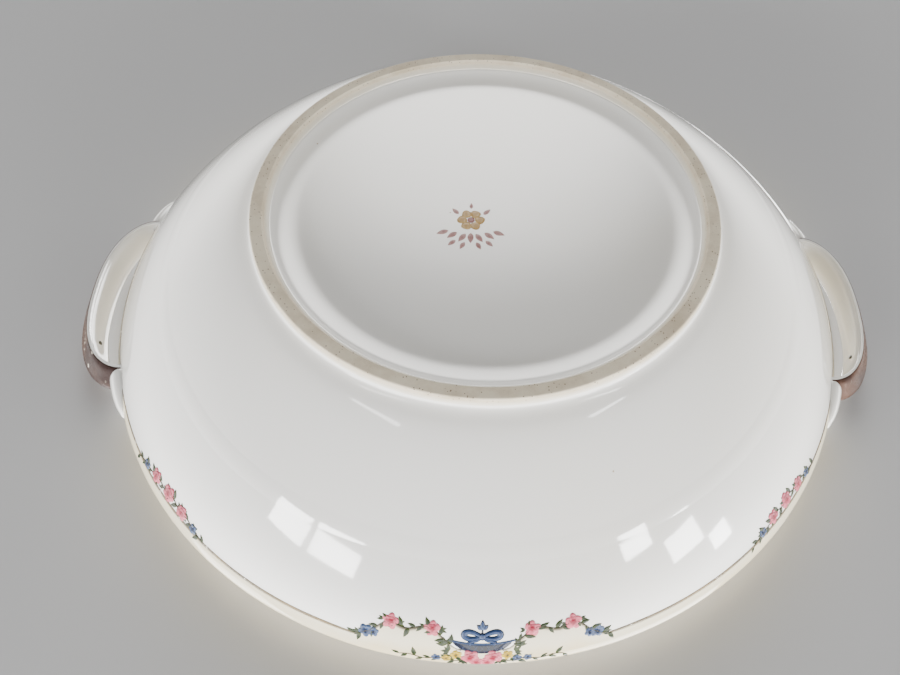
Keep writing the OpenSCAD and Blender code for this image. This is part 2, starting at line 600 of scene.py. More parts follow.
class Palette:
    """Every finish on the bowl, each made once."""

    def __init__(self) -> None:
        """Makes the finishes."""
        self.glaze = Glaze().make()
        self.foot = FootGlaze().make()
        self.cream = Ground().make()
        self.lip_gold = Gilding("lip_gold", (0.66, 0.46, 0.20), (0.50, 0.33, 0.14), wear=0.2).make()
        self.line_gold = Gilding(
            "line_gold", (0.22, 0.155, 0.07), (0.13, 0.10, 0.06), wear=0.1, metal=0.3
        ).make()
        self.handle_gold = Gilding(
            "handle_gold", (0.10, 0.052, 0.035), (0.035, 0.02, 0.018),
            wear=0.08, metal=0.15, grain=170.0, shine=0.1,
        ).make()
        self.stem = Enamel("stem_enamel", (0.06, 0.055, 0.03), (0.13, 0.12, 0.06)).make()
        self.leaf = Enamel("leaf_enamel", (0.010, 0.022, 0.005), (0.050, 0.070, 0.018)).make()
        self.rose = Enamel("rose_enamel", (0.26, 0.008, 0.03), (0.66, 0.15, 0.21), 0.22).make()
        self.blue = Enamel("blue_enamel", (0.016, 0.035, 0.10), (0.085, 0.135, 0.26)).make()
        self.navy = Enamel("navy_enamel", (0.003, 0.005, 0.014), (0.010, 0.014, 0.034)).make()
        self.yellow = Enamel("yellow_enamel", (0.40, 0.25, 0.012), (0.62, 0.44, 0.05)).make()
        self.mark = Enamel("mark_gold", (0.40, 0.23, 0.06), (0.55, 0.37, 0.16)).make()
        self.mark_leaf = Enamel("mark_mauve", (0.30, 0.13, 0.12), (0.46, 0.27, 0.25)).make()

    def prints(self) -> tuple[bpy.types.Material, ...]:
        """The transfers' colours in the order of the Ink numbers."""
        return (self.stem, self.leaf, self.rose, self.blue, self.navy, self.yellow)


class Ink(Enum):
    """A transfer's colours, by their place among its finishes."""

    STEM = 0
    LEAF = 1
    ROSE = 2
    BLUE = 3
    NAVY = 4
    YELLOW = 5


# ---------------------------------------------------------------- the bowl's shape


@dataclass
class BowlForm:
    """The bowl's outline, in millimetres, worked out from the frame's own sizes."""

    height: float
    belly_r: float
    rim_r: float
    belly_out: float = 2.5
    wall_t: float = 3.4
    belly_drop: float = 7.5
    foot_r: float = 66.9
    foot_face_w: float = 3.5
    foot_split_z: float = 2.6
    recess_h: float = 5.0
    border_h: float = 12.5
    wall: list[Pair] = field(default_factory=list)
    runs: list[float] = field(default_factory=list)

    @classmethod
    def from_frame(cls) -> BowlForm:
        """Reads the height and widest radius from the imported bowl."""
        _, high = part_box("bowl_body")
        belly_r = high.x / MM
        made = cls(high.z / MM, belly_r, belly_r - cls.belly_out)
        made.lay_out()
        return made

    def lay_out(self) -> None:
        """Draws the outer wall from the foot to the lip and measures along it."""
        foot_top = self.foot_r + 0.3
        cove = (self.foot_r + 3.8, self.recess_h)
        belly_z = self.height - self.belly_drop
        self.wall = [(foot_top, self.foot_split_z)]
        self.wall += cubic_run(self.wall[-1], (foot_top + 0.1, 3.7), (foot_top + 1.3, 4.1), cove, 10)
        self.wall += cubic_run(cove, (cove[0] + 10, cove[1] + 4), (self.belly_r, belly_z - 9.5),
                               (self.belly_r, belly_z), 64)
        lip_foot = (self.rim_r, self.height - self.wall_t / 2)
        self.wall += cubic_run(self.wall[-1], (self.belly_r, belly_z + 2.6),
                               (self.rim_r + 0.4, self.height - 3), lip_foot, 16)
        self.runs = [0.0]
        for a, b in zip(self.wall, self.wall[1:]):
            self.runs.append(self.runs[-1] + math.dist(a, b))

    def lip(self, start: float = 0.0, end: float = 180.0, steps: int = 14) -> list[Pair]:
        """Points over the round lip.

        Args:
            start: First angle in degrees, 0 at the outside.
            end: Last angle in degrees.
            steps: Number of points.

        Returns:
            The points in order.
        """
        half = self.wall_t / 2
        return arc_run((self.rim_r - half, self.height - half), half, start, end, steps)

    def inner_wall(self) -> list[Pair]:
        """Points from the lip down the inside to the middle of the floor."""
        half = self.wall_t / 2
        floor_z = self.recess_h + 4.0
        floor_r = self.foot_r - 6.0
        start = (self.rim_r - self.wall_t, self.height - half)
        run = cubic_run(start, (self.belly_r - self.wall_t + 0.5, self.height - self.belly_drop - 14),
                        (self.foot_r + 21.8, floor_z + 1), (floor_r, floor_z), 64)
        return run + [(floor_r * (1 - i / 8), floor_z - 0.25 * smoothstep(0, 8, i)) for i in range(1, 9)]

    def recess(self) -> list[Pair]:
        """Points from the middle of the base out and down to the foot's standing face."""
        mouth_r = self.foot_r - self.foot_face_w
        flat_r = mouth_r - 9.4
        dish = [(flat_r * i / 32, self.recess_h - 0.12 * (i / 32) ** 2) for i in range(33)]
        pulls = ((flat_r + 5.4, dish[-1][1] - 0.1), (mouth_r - 1.2, 3.0))
        return dish + cubic_run(dish[-1], *pulls, (mouth_r, 0.25), 24)

    def run_at(self, height: float) -> float:
        """Distance along the wall at a height above the foot."""
        for (a, b), run in zip(zip(self.wall, self.wall[1:]), self.runs):
            if a[1] <= height <= b[1]:
                return run + math.dist(a, b) * (height - a[1]) / max(b[1] - a[1], 1e-9)
        return self.runs[-1]

    @property
    def line_run(self) -> float:
        """Distance along the wall to the gold line."""
        return self.run_at(self.height - self.border_h)

    def wall_at(self, run: float) -> tuple[Pair, Pair]:
        """The wall at a distance along it.

        Args:
            run: Distance from the foot.

        Returns:
            The point and the outward direction, each as (radius, height).
        """
        index = 0
        while index < len(self.runs) - 2 and self.runs[index + 1] < run:
            index += 1

        def facing(k: int) -> Pair:
            """Outward direction of one step of the wall."""
            k = min(max(k, 0), len(self.wall) - 2)
            a, b = self.wall[k], self.wall[k + 1]
            length = math.dist(a, b)
            return ((b[1] - a[1]) / length, -(b[0] - a[0]) / length)

        a, b = self.wall[index], self.wall[index + 1]
        part = (run - self.runs[index]) / max(self.runs[index + 1] - self.runs[index], 1e-9)
        near, far = facing(index), facing(index + (1 if part > 0.5 else -1))
        share = abs(part - 0.5)
        out = tuple(near[i] * (1 - share) + far[i] * share for i in (0, 1))
        size = math.hypot(*out)
        return ((a[0] + (b[0] - a[0]) * part, a[1] + (b[1] - a[1]) * part), (out[0] / size, out[1] / size))

    def radius_at(self, height: float) -> float:
        """Outer radius of the wall at a height."""
        return self.wall_at(self.run_at(height))[0][0]

    def on_wall(self, angle: float, run: float, lift: float) -> Triple:
        """A place on or over the wall.

        Args:
            angle: Angle round the bowl in radians.
            run: Distance along the wall from the foot.
            lift: Distance out from the wall.

        Returns:
            The place in millimetres.
        """
        (radius, height), out = self.wall_at(run)
        r = radius + out[0] * lift
        return (r * math.cos(angle), r * math.sin(angle), height + out[1] * lift)

    def wrap(self, mesh: bpy.types.Mesh, middle: float) -> None:
        """Lays a flat print on the wall.

        Args:
            mesh: The print, in metres: X along the wall, Y up it from the gold line, Z out of it.
            middle: Angle of the print's middle in degrees.
        """
        for vertex in mesh.vertices:
            u, v, w = (c / MM for c in vertex.co)
            angle = math.radians(middle) + u / self.belly_r
            vertex.co = Vector(self.on_wall(angle, self.line_run + v, w)) * MM
        mesh.update()


@dataclass
class Porcelain:
    """The fired body: wall, floor and foot."""

    form: BowlForm
    palette: Palette
    segments: int = 320

    def build(self) -> None:
        """Makes the wall with its floor, and the foot ring under it."""
        form = self.form
        recess = form.recess()
        split = next(i for i, p in enumerate(recess) if p[1] < form.foot_split_z)
        base, under = recess[:split], recess[split:]
        seam = (base[-1][0] + 0.3, form.foot_split_z)
        profile = base + [seam] + form.wall + form.lip() + form.inner_wall()
        creases = (len(base), len(base) + 1)
        wall = stand("porcelain_wall", lathe(profile, self.segments, creases), self.palette.glaze)
        hand_over(wall, "glaze", "bowl_body")
        mouth_r = form.foot_r - form.foot_face_w
        face = [seam] + under
        face += cubic_run(face[-1], (mouth_r + 0.03, 0.08), (mouth_r + 0.08, 0.0), (mouth_r + 0.3, 0.0), 5)
        face += [(mouth_r + 0.3 + (form.foot_face_w - 0.8) * i / 6, 0.0) for i in range(1, 7)]
        face += arc_run((form.foot_r - 0.5, 0.5), 0.5, -90.0, 0.0, 7)
        face += [(form.foot_r + 0.3 * i / 4, 0.5 + (form.foot_split_z - 0.5) * i / 4) for i in range(1, 5)]
        foot = stand("foot_rim", lathe(face, self.segments, (0, len(face) - 1)), self.palette.foot)
        hand_over(foot, "foot", "foot_ring")


@dataclass
class Handle:
    """One handle: a cast loop, two root pads lying along the wall, and the gold on its outer face."""

    form: BowlForm
    palette: Palette
    side: Side
    lean: float = 3.5
    drop: float = 2.0
    reach: float = 11.5
    loop_t: float = 5.0
    loop_h: float = 12.3
    loop_half_a: float = 15.6
    corner_power: float = 3.2
    slope: float = 0.36
    edge_back: float = 2.6
    pad_from_a: float = 13.4
    pad_to_a: float = 21.9
    pad_t: float = 2.8
    pad_half_h: float = 6.0
    flute: float = 0.26
    dip: float = 0.42
    vein: float = 0.16
    vent_r: float = 0.75
    vent_part: float = 0.34
    gold_half_a: float = 74.0
    path_steps: int = 72
    section_steps: int = 40

    @property
    def middle_z(self) -> float:
        """Height of the middle of the loop."""
        return self.form.height - self.drop - 0.1 - self.loop_h / 2

    def path(self, part: float) -> tuple[float, Pair]:
        """The loop's middle line in plan.

        Args:
            part: How far along the loop, from 0 to 1.

        Returns:
            The share of the loop's reach there, and the place (x, y).
        """
        swing = math.sin(math.pi * (part - 0.5))
        angle = math.radians(self.loop_half_a) * swing
        share = max(0.0, 1 - abs(swing) ** self.corner_power) ** 0.5
        inner = self.form.radius_at(self.middle_z) - 1.6
        outer = self.form.belly_r + self.reach - self.loop_t / 2
        r = inner + (outer - inner) * share
        return share, (r * math.cos(angle), r * math.sin(angle))

    def section(self, share: float, turn: float, grow: float) -> Pair:
        """The loop's section: a flat-sided oval with two soft flutes on its outer face.

        Args:
            share: The share of the loop's reach there.
            turn: Angle round the section, 0 at its outer face.
            grow: How far the section is grown.

        Returns:
            The place as (outwards, upwards).
        """
        half_t = self.loop_t / 2 * (0.84 + 0.16 * share)
        half_h = self.loop_h / 2 * (0.90 + 0.10 * share)
        up = signed_power(math.sin(turn), 0.82) * half_h
        out = signed_power(math.cos(turn), 0.75) * half_t * (1 - 0.28 * max(0.0, -up / half_h))
        if math.cos(turn) > 0:
            out -= self.flute * (1 - math.cos(up / half_h * math.pi * 2)) * math.cos(turn)
        else:
            out -= self.dip * (1 - (up / half_h) ** 2) * math.cos(turn)
        size = max(math.hypot(out, up), 1e-6)
        shear = self.slope * up * share * (0.5 - 0.5 * math.cos(turn))
        shear += self.edge_back * max(0.0, -up / half_h) ** 2
        return out + grow * out / size - shear, up + grow * up / size

    def sweep(self, sheet: Sheet, turns: Sequence[float], parts: Sequence[float],
              grow: float) -> list[list[int]]:
        """Sets out the loop's rings of points.

        Args:
            sheet: Where the points go.
            turns: Angles round the section.
            parts: Places along the loop.
            grow: How far the section is grown.

        Returns:
            The rings of point numbers.
        """
        wall_mid = self.form.radius_at(self.middle_z)
        rings = []
        for part in parts:
            share, (x, y) = self.path(part)
            _, before = self.path(max(part - 0.002, 0.0))
            _, after = self.path(min(part + 0.002, 1.0))
            along = Vector((after[0] - before[0], after[1] - before[1])).normalized()
            ring = []
            for turn in turns:
                out, up = self.section(share, turn, grow)
                z = self.middle_z + up
                lean = (self.form.radius_at(z) - wall_mid) * (1 - share)
                ring.append(sheet.point((x + along.y * out + lean, y - along.x * out, z)))
            rings.append(ring)
        return rings

    def loop(self, sheet: Sheet) -> None:
        """Adds the loop, closed at both ends inside the wall."""
        turns = [2 * math.pi * i / self.section_steps for i in range(self.section_steps)]
        parts = [i / self.path_steps for i in range(self.path_steps + 1)]
        rings = self.sweep(sheet, turns, parts, 0.0)
        sheet.tube([list(reversed(r)) for r in rings])
        sheet.face(rings[0])
        sheet.face(list(reversed(rings[-1])))

    def pad(self, sheet: Sheet, sign: float) -> None:
        """Adds a leaf-shaped root pad.

        Args:
            sheet: Where it goes.
            sign: 1 for the pad towards +Y and -1 for the other.
        """
        steps_along, steps_across = 30, 16
        middle_run = self.form.run_at(self.middle_z)
        rings = []
        for i in range(1, steps_along):
            q = i / steps_along
            angle = sign * math.radians(self.pad_from_a + (self.pad_to_a - self.pad_from_a) * q)
            half_h = self.pad_half_h * (1 - q**2.6) ** 0.55 * smoothstep(-0.05, 0.22, q) ** 0.5
            thick = self.pad_t * (1 - q**3) ** 0.6 * smoothstep(0.0, 0.25, q)
            ring = []
            for j in range(steps_across + 1):
                across = math.cos(math.pi * j / steps_across)
                lift = thick * max(0.0, 1 - across**4) ** 0.5
                vein = self.vein * math.exp(-((across / 0.12) ** 2)) * thick / self.pad_t
                place = self.form.on_wall(angle, middle_run + across * half_h, lift - vein - 0.3)
                ring.append(sheet.point(place))
            for j in range(1, steps_across):
                across = math.cos(math.pi * j / steps_across)
                ring.append(sheet.point(self.form.on_wall(angle, middle_run - across * half_h, -0.8)))
            rings.append(ring)
        if sign > 0:
            rings = [list(reversed(r)) for r in rings]
        sheet.tube(rings)
        sheet.face(list(reversed(rings[0])))
        sheet.face(rings[-1])

    def painted_vent_shade(self, sheet: Sheet) -> None:
        """Adds the casting's vent hole, low on the inner face, as a small dark disc in stem enamel: painted
        shade for the hole's mouth.
        """
        part = self.vent_part if self.side is Side.RIGHT else 1 - self.vent_part
        share, (x, y) = self.path(part)
        out, up = self.section(share, math.pi * 0.97, 0.02)
        outwards = Vector((x, y, 0.0)).normalized()
        centre = Vector((x, y, self.middle_z + up)) + outwards * (out - 0.08)
        normal = (outwards * -0.96 + Vector((0.0, 0.0, -0.27))).normalized()
        side = Vector((-outwards.y, outwards.x, 0.0))
        other = normal.cross(side)
        middle = sheet.point(tuple(centre + normal * 0.04))
        back = sheet.point(tuple(centre - normal * 0.3))
        ring = []
        for i in range(14):
            a = 2 * math.pi * i / 14
            place = centre + (side * math.cos(a) + other * math.sin(a)) * self.vent_r
            ring.append(sheet.point(tuple(place - normal * 0.02)))
        # finish 1 is the dark stem enamel: painted shade for the hole's mouth
        for i in range(14):
            sheet.face((middle, ring[i], ring[(i + 1) % 14]), 1)
            sheet.face((back, ring[(i + 1) % 14], ring[i]), 1)

    def gold(self) -> bpy.types.Mesh:
        """The gold skin over the outer face."""
        sheet = Sheet()
        spread = math.radians(self.gold_half_a)
        steps = 26
        turns = [-spread + 2 * spread * i / steps for i in range(steps + 1)]
        parts = [0.045 + 0.91 * i / self.path_steps for i in range(self.path_steps + 1)]
        outer = self.sweep(sheet, turns, parts, 0.07)
        inner = self.sweep(sheet, list(reversed(turns)), parts, -0.05)
        rings = [list(reversed(a + b)) for a, b in zip(outer, inner)]
        sheet.tube(rings)
        sheet.face(list(reversed(rings[0])))
        sheet.face(rings[-1])
        return sheet.mesh("gold")

    def build(self) -> None:
        """Makes the handle and its gold, turned to its own side of the bowl."""
        name = self.side.name.lower()
        lean = -self.lean if self.side is Side.RIGHT else self.lean
        turn = Matrix.Rotation(math.radians(self.side.value + lean), 4, "Z")
        sheet = Sheet()
        self.loop(sheet)
        self.pad(sheet, 1.0)
        self.pad(sheet, -1.0)
        self.painted_vent_shade(sheet)
        cast = sheet.mesh(name)
        cast.transform(turn)
        # the second finish, dark stem enamel, colours the painted shade in the vent hole's mouth
        piece = stand(f"{name}_handle_cast", cast, self.palette.glaze, self.palette.stem)
        hand_over(piece, "glaze", f"{name}_handle")
        skin = self.gold()
        skin.transform(turn)
        gilt = stand(f"{name}_handle_gold", skin, self.palette.handle_gold)
        hand_over(gilt, "worn_gold", f"{name}_handle_gilding")


# ---------------------------------------------------------------- decoration


@dataclass
class LeafRun:
    """Leaves on alternate sides of a vine, set out by a node tree."""

    lean: Pair = (0.55, 1.05)
    growth: Pair = (0.78, 1.2)
    stem_sides: int = 6

    def tree(self) -> bpy.types.GeometryNodeTree:
        """Builds the node tree: vine and leaves from one curve.

        Returns:
            The tree.
        """
        tree = bpy.data.node_groups.new("leaf_run", "GeometryNodeTree")
        for name, kind in (
            ("Vine", "Geometry"),
            ("Leaf", "Object"),
            ("Spacing", "Float"),
            ("Leaf size", "Float"),
            ("Stem radius", "Float"),
            ("Seed", "Int"),
            ("Stem finish", "Material"),
            ("Leaf finish", "Material"),
        ):
            tree.interface.new_socket(name, in_out="INPUT", socket_type=f"NodeSocket{kind}")
        tree.interface.new_socket("Geometry", in_out="OUTPUT", socket_type="NodeSocketGeometry")

        def node(kind: str, inputs: dict[str | int, object], **settings: object) -> bpy.types.NodeOutputs:
            """Adds a node.

            Args:
                kind: Its type.
                inputs: What each of its sockets is given, a value or another node's output.
                settings: Its own settings.

            Returns:
                Its outputs.
            """
            made = tree.nodes.new(kind)
            for name, value in settings.items():
                setattr(made, name, value)
            for socket, value in inputs.items():
                if isinstance(value, Socket):
                    tree.links.new(value, made.inputs[socket])
                else:
                    made.inputs[socket].default_value = value
            return made.outputs

        def chance(low: float, high: float) -> Socket:
            """A random number for each leaf."""
            return node("FunctionNodeRandomValue", {2: low, 3: high, "Seed": given["Seed"]})[1]

        given = node("NodeGroupInput", {})
        tangent = node("GeometryNodeInputTangent", {})[0]
        vine = node(
            "GeometryNodeStoreNamedAttribute",
            {"Geometry": given["Vine"], "Name": "way", "Value": tangent},
            data_type="FLOAT_VECTOR",
        )[0]
        roots = node("GeometryNodeCurveToPoints", {"Curve": vine, "Length": given["Spacing"]}, mode="LENGTH")
        leaf = node("GeometryNodeObjectInfo", {"Object": given["Leaf"]})["Geometry"]

        index = node("GeometryNodeInputIndex", {})[0]
        odd = node("ShaderNodeMath", {0: index, 1: 2.0}, operation="MODULO")[0]
        side = node("ShaderNodeMath", {0: odd, 1: 2.0, 2: -1.0}, operation="MULTIPLY_ADD")[0]
        tilt = node("ShaderNodeMath", {0: side, 1: chance(*self.lean)}, operation="MULTIPLY")[0]
        way = node("GeometryNodeInputNamedAttribute", {"Name": "way"}, data_type="FLOAT_VECTOR")[0]
        along = node("FunctionNodeAlignRotationToVector", {"Vector": way}, axis="X", pivot_axis="Z")[0]
        about = node("ShaderNodeCombineXYZ", {"Z": tilt})[0]
        spin = node("FunctionNodeEulerToRotation", {0: about})[0]
        turn = node(
            "FunctionNodeRotateRotation", {"Rotation": along, "Rotate By": spin}, rotation_space="GLOBAL"
        )[0]
        grown = chance(*self.growth)
        size = node("ShaderNodeMath", {0: grown, 1: given["Leaf size"]}, operation="MULTIPLY")[0]
        leaves = node(
            "GeometryNodeInstanceOnPoints",
            {"Points": roots["Points"], "Instance": leaf, "Rotation": turn, "Scale": size},
        )[0]
        real = node("GeometryNodeRealizeInstances", {0: leaves})[0]
        green = node("GeometryNodeSetMaterial", {"Geometry": real, "Material": given["Leaf finish"]})[0]

        ring = node(
            "GeometryNodeCurvePrimitiveCircle",
            {"Resolution": self.stem_sides, "Radius": given["Stem radius"]},
        )[0]
        tube = node(
            "GeometryNodeCurveToMesh", {"Curve": given["Vine"], "Profile Curve": ring, "Fill Caps": True}
        )[0]
        stem = node("GeometryNodeSetMaterial", {"Geometry": tube, "Material": given["Stem finish"]})[0]
        both = tree.nodes.new("GeometryNodeJoinGeometry")
        for part in (stem, green):
            tree.links.new(part, both.inputs[0])
        node("NodeGroupOutput", {0: both.outputs[0]})
        return tree


def turned(drawing: Sequence[Pair], root: Pair, heading: float) -> list[Pair]:
    """Turns a drawing that lies along +X to a heading, with its origin at a root.

    Args:
        drawing: Its points.
        root: Where its origin goes.
        heading: The way that it then points, in degrees.

    Returns:
        The turned points.
    """
    a = math.radians(heading)
    return [
        (root[0] + x * math.cos(a) - y * math.sin(a), root[1] + x * math.sin(a) + y * math.cos(a))
        for x, y in drawing
    ]


@dataclass
class Transfer:
    """Draws flat prints: X runs along the wall, Y up it from the gold line, Z out of it."""

    palette: Palette
    leaves: LeafRun = field(default_factory=LeafRun)

    def __post_init__(self) -> None:
        """Makes the leaf that the vines repeat, and their node tree."""
        sheet = Sheet()
        self.tile(sheet, self.leaf_outline(2.6, 1.1), (1.1, 0.0), 0.05, 0.05, Ink.LEAF)
        self.leaf = bpy.data.objects.new("leaf_pattern", sheet.mesh("leaf_pattern"))
        self.tree = self.leaves.tree()

    @staticmethod
    def leaf_outline(length: float, width: float) -> list[Pair]:
        """Outline of a pointed leaf that grows along +X from the origin.

        Args:
            length: Its length.
            width: Its greatest width.

        Returns:
            The outline, anticlockwise.
        """
        parts = [i / 7 for i in range(7)]
        lower = [(length * q, -width / 2 * math.sin(math.pi * q**0.8)) for q in parts]
        return lower + [(length, 0.0)] + [(x, -y) for x, y in reversed(lower[1:])]

    @staticmethod
    def petal_outline(centre: Pair, radius: float, wobble: float, phase: float,
                      steps: int = 12) -> list[Pair]:
        """Round outline with a soft wave in it.

        Args:
            centre: Its centre.
            radius: Its mean radius.
            wobble: Depth of the wave, as a part of the radius.
            phase: Where the wave starts.
            steps: Number of points.

        Returns:
            The outline, anticlockwise.
        """
        points = []
        for i in range(steps):
            a = 2 * math.pi * i / steps
            r = radius * (1 + wobble * math.sin(3 * a + phase))
            points.append((centre[0] + r * math.cos(a), centre[1] + r * math.sin(a)))
        return points

    @staticmethod
    def tile(sheet: Sheet, outline: Sequence[Pair], heart: Pair, lift: float, puff: float,
             ink: Ink, tones: Pair = (0.0, 1.0)) -> None:
        """Adds one low domed patch of colour, closed below.

        Args:
            sheet: Where it goes.
            outline: Its edge, anticlockwise.
            heart: Its middle.
            lift: Height of its edge over the wall.
            puff: How far its middle stands above its edge.
            ink: Its colour.
            tones: Shade at the heart and at the edge.
        """
        count = len(outline)
        middle = sheet.point((heart[0], heart[1], lift + puff), tones[0])
        rings = []
        for part, height in ((0.6, lift + puff * 0.72), (1.0, lift), (1.0, -0.03)):
            shade = tones[0] + (tones[1] - tones[0]) * part
            ring = []
            for x, y in outline:
                place = (heart[0] + (x - heart[0]) * part, heart[1] + (y - heart[1]) * part, height)
                ring.append(sheet.point(place, shade))
            rings.append(ring)
        for i in range(count):
            sheet.face((middle, rings[0][i], rings[0][(i + 1) % count]), ink.value)
        sheet.tube([rings[2], rings[1], rings[0]], finish=ink.value)
        sheet.face(list(reversed(rings[2])), ink.value)

    def rose(self, sheet: Sheet, place: Pair, radius: float, chance: random.Random) -> None:
        """Adds a cabbage rose: two rounds of petals about a furled heart.

        Args:
            sheet: Where it goes.
            place: Its middle.
            radius: Its radius.
            chance: Source of its small differences.
        """
        spin = chance.uniform(0, math.tau)
        rounds = ((5, 0.60, 0.46, 0.08, (0.55, 1.25)), (5, 0.34, 0.36, 0.13, (0.25, 0.95)))
        for count, out, size, lift, tones in rounds:
            for k in range(count):
                a = spin + math.tau * k / count + chance.uniform(-0.15, 0.15)
                dx, dy = radius * out * math.cos(a), radius * out * math.sin(a)
                centre = (place[0] + dx, place[1] + dy)
                outline = self.petal_outline(centre, radius * size, 0.10, chance.uniform(0, 6))
                inward = (place[0] + dx * 0.55, place[1] + dy * 0.55)
                self.tile(sheet, outline, inward, lift + 0.004 * k, 0.05, Ink.ROSE, tones)
            spin += math.pi / 5
        core = self.petal_outline(place, radius * 0.30, 0.18, spin, 10)
        self.tile(sheet, core, place, 0.17, 0.06, Ink.ROSE, (-0.15, 0.45))

    def blossom(self, sheet: Sheet, place: Pair, radius: float, ink: Ink, chance: random.Random) -> None:
        """Adds a five-petalled blossom with a dark eye.

        Args:
            sheet: Where it goes.
            place: Its middle.
            radius: Its radius.
            ink: Its colour.
            chance: Source of its small differences.
        """
        spin = chance.uniform(0, math.tau)
        for k in range(5):
            a = spin + math.tau * k / 5
            centre = (place[0] + radius * 0.55 * math.cos(a), place[1] + radius * 0.55 * math.sin(a))
            outline = self.petal_outline(centre, radius * 0.43, 0.07, chance.uniform(0, 6), 10)
            self.tile(sheet, outline, place, 0.09 + 0.004 * k, 0.04, ink)
        eye = self.petal_outline(place, radius * 0.17, 0.0, 0.0, 8)
        self.tile(sheet, eye, place, 0.15, 0.03, Ink.NAVY if ink is Ink.BLUE else Ink.STEM)

    def spray(self, sheet: Sheet, root: Pair, heading: float, count: int, chance: random.Random,
              size: float = 1.0) -> None:
        """Adds a sprig of leaves that opens like a fan.

        Args:
            sheet: Where it goes.
            root: Where the leaves start.
            heading: The way the middle leaf points, in degrees.
            count: Number of leaves.
            chance: Source of their small differences.
            size: Size of the leaves.
        """
        for k in range(count):
            fan = (k - (count - 1) / 2) * 38 + chance.uniform(-8, 8)
            length = size * chance.uniform(1.8, 2.6)
            leaf = [(length * HEART, 0.0), *self.leaf_outline(length, length * 0.42)]
            heart, *outline = turned(leaf, root, heading + fan)
            tones = (chance.uniform(-0.1, 0.3), 1.0)
            self.tile(sheet, outline, heart, 0.055 + 0.003 * k, 0.04, Ink.LEAF, tones)

    @staticmethod
    def ribbon(sheet: Sheet, line: Sequence[Pair], widths: Sequence[float], lift: float, ink: Ink) -> None:
        """Adds a flat ribbon with a raised middle, closed below.

        Args:
            sheet: Where it goes.
            line: Its middle line.
            widths: Its width at each point.
            lift: Height of its edges over the wall.
            ink: Its colour.
        """
        rings = []
        for i, (x, y) in enumerate(line):
            before, after = line[max(i - 1, 0)], line[min(i + 1, len(line) - 1)]
            along = Vector((after[0] - before[0], after[1] - before[1])).normalized()
            half = widths[i] / 2
            ring = []
            for across, height in ((-1, -0.03), (1, -0.03), (1, lift), (0, lift + 0.05), (-1, lift)):
                place = (x - along.y * half * across, y + along.x * half * across, height)
                ring.append(sheet.point(place, float(abs(across))))
            rings.append(ring)
        sheet.tube([list(reversed(r)) for r in rings], finish=ink.value)
        sheet.face(rings[0], ink.value)
        sheet.face(list(reversed(rings[-1])), ink.value)

    def basket(self, sheet: Sheet) -> None:
        """Adds a low dark basket laced with pale bands."""
        half = 7.6
        places = [half * math.cos(math.pi * i / 20) for i in range(21)]
        low = [(x, -2.9 + 3.7 * max(0.0, 1 - (x / half) ** 2) ** 0.65) for x in places]
        high = [(x, -2.05 - 0.85 * (x / half) ** 2) for x in reversed(places[1:-1])]
        self.tile(sheet, low + high, (0.0, -1.0), 0.06, 0.03, Ink.NAVY)
        for k in range(7):
            x = -4.8 + 1.6 * k
            for lean in (-0.8, 0.8):
                band = [(x + lean * (i / 6 - 0.5) * 1.8, -1.9 + 2.1 * i / 6) for i in range(7)]
                self.ribbon(sheet, band, [0.12] * 7, 0.055, Ink.BLUE)
        rim = [(8.4 - 16.8 * i / 20, -2.1 - 0.95 * ((10 - i) / 10) ** 2) for i in range(21)]
        self.ribbon(sheet, rim, [0.42] * 21, 0.10, Ink.BLUE)

    def bow(self, sheet: Sheet, place: Pair) -> None:
        """Adds a tied bow of blue ribbon with a bud standing over it.

        Args:
            sheet: Where it goes.
            place: Its knot.
        """
        x0, y0 = place
        for sign in (-1.0, 1.0):
            loop = []
            for i in range(25):
                t = math.tau * i / 24
                reach = (1 - math.cos(t)) / 2
                rise = 1.25 * math.sin(t) * reach**0.4
                loop.append((x0 + sign * (0.3 + 4.4 * reach), y0 - 0.5 * reach + rise))
            widths = [0.55 + 0.65 * math.sin(math.pi * i / 24) for i in range(25)]
            self.ribbon(sheet, loop, [w + 0.42 for w in widths], 0.06, Ink.NAVY)
            self.ribbon(sheet, loop, widths, 0.10, Ink.BLUE)
            tail = []
            for i in range(13):
                wave = 0.3 * math.sin(math.pi * i / 6)
                tail.append((x0 + sign * (0.3 + 3.1 * i / 12), y0 + 2.3 * i / 12 + wave))
            widths = [0.55 + 0.5 * i / 12 for i in range(13)]
            self.ribbon(sheet, tail, [w + 0.38 for w in widths], 0.05, Ink.NAVY)
            self.ribbon(sheet, tail, widths, 0.09, Ink.BLUE)
        stem = [(x0, y0 - 0.5 - 1.7 * i / 6) for i in range(7)]
        self.ribbon(sheet, stem, [0.5] * 7, 0.06, Ink.NAVY)
        for heading, length in ((-90.0, 2.3), (-140.0, 1.7), (-40.0, 1.7)):
            for grow, lift, ink in ((1.28, 0.07, Ink.NAVY), (1.0, 0.11, Ink.BLUE)):
                outline = self.leaf_outline(length * (1 + (grow - 1) * 0.6), 1.05 * grow)
                heart, *bud = turned([(length * HEART, 0.0), *outline], (x0, y0 - 2.0), heading)
                self.tile(sheet, bud, heart, lift, 0.03, ink)
        self.tile(sheet, self.petal_outline(place, 1.05, 0.0, 0.0), place, 0.11, 0.03, Ink.NAVY)
        self.tile(sheet, self.petal_outline(place, 0.74, 0.05, 0.0), place, 0.15, 0.05, Ink.BLUE)

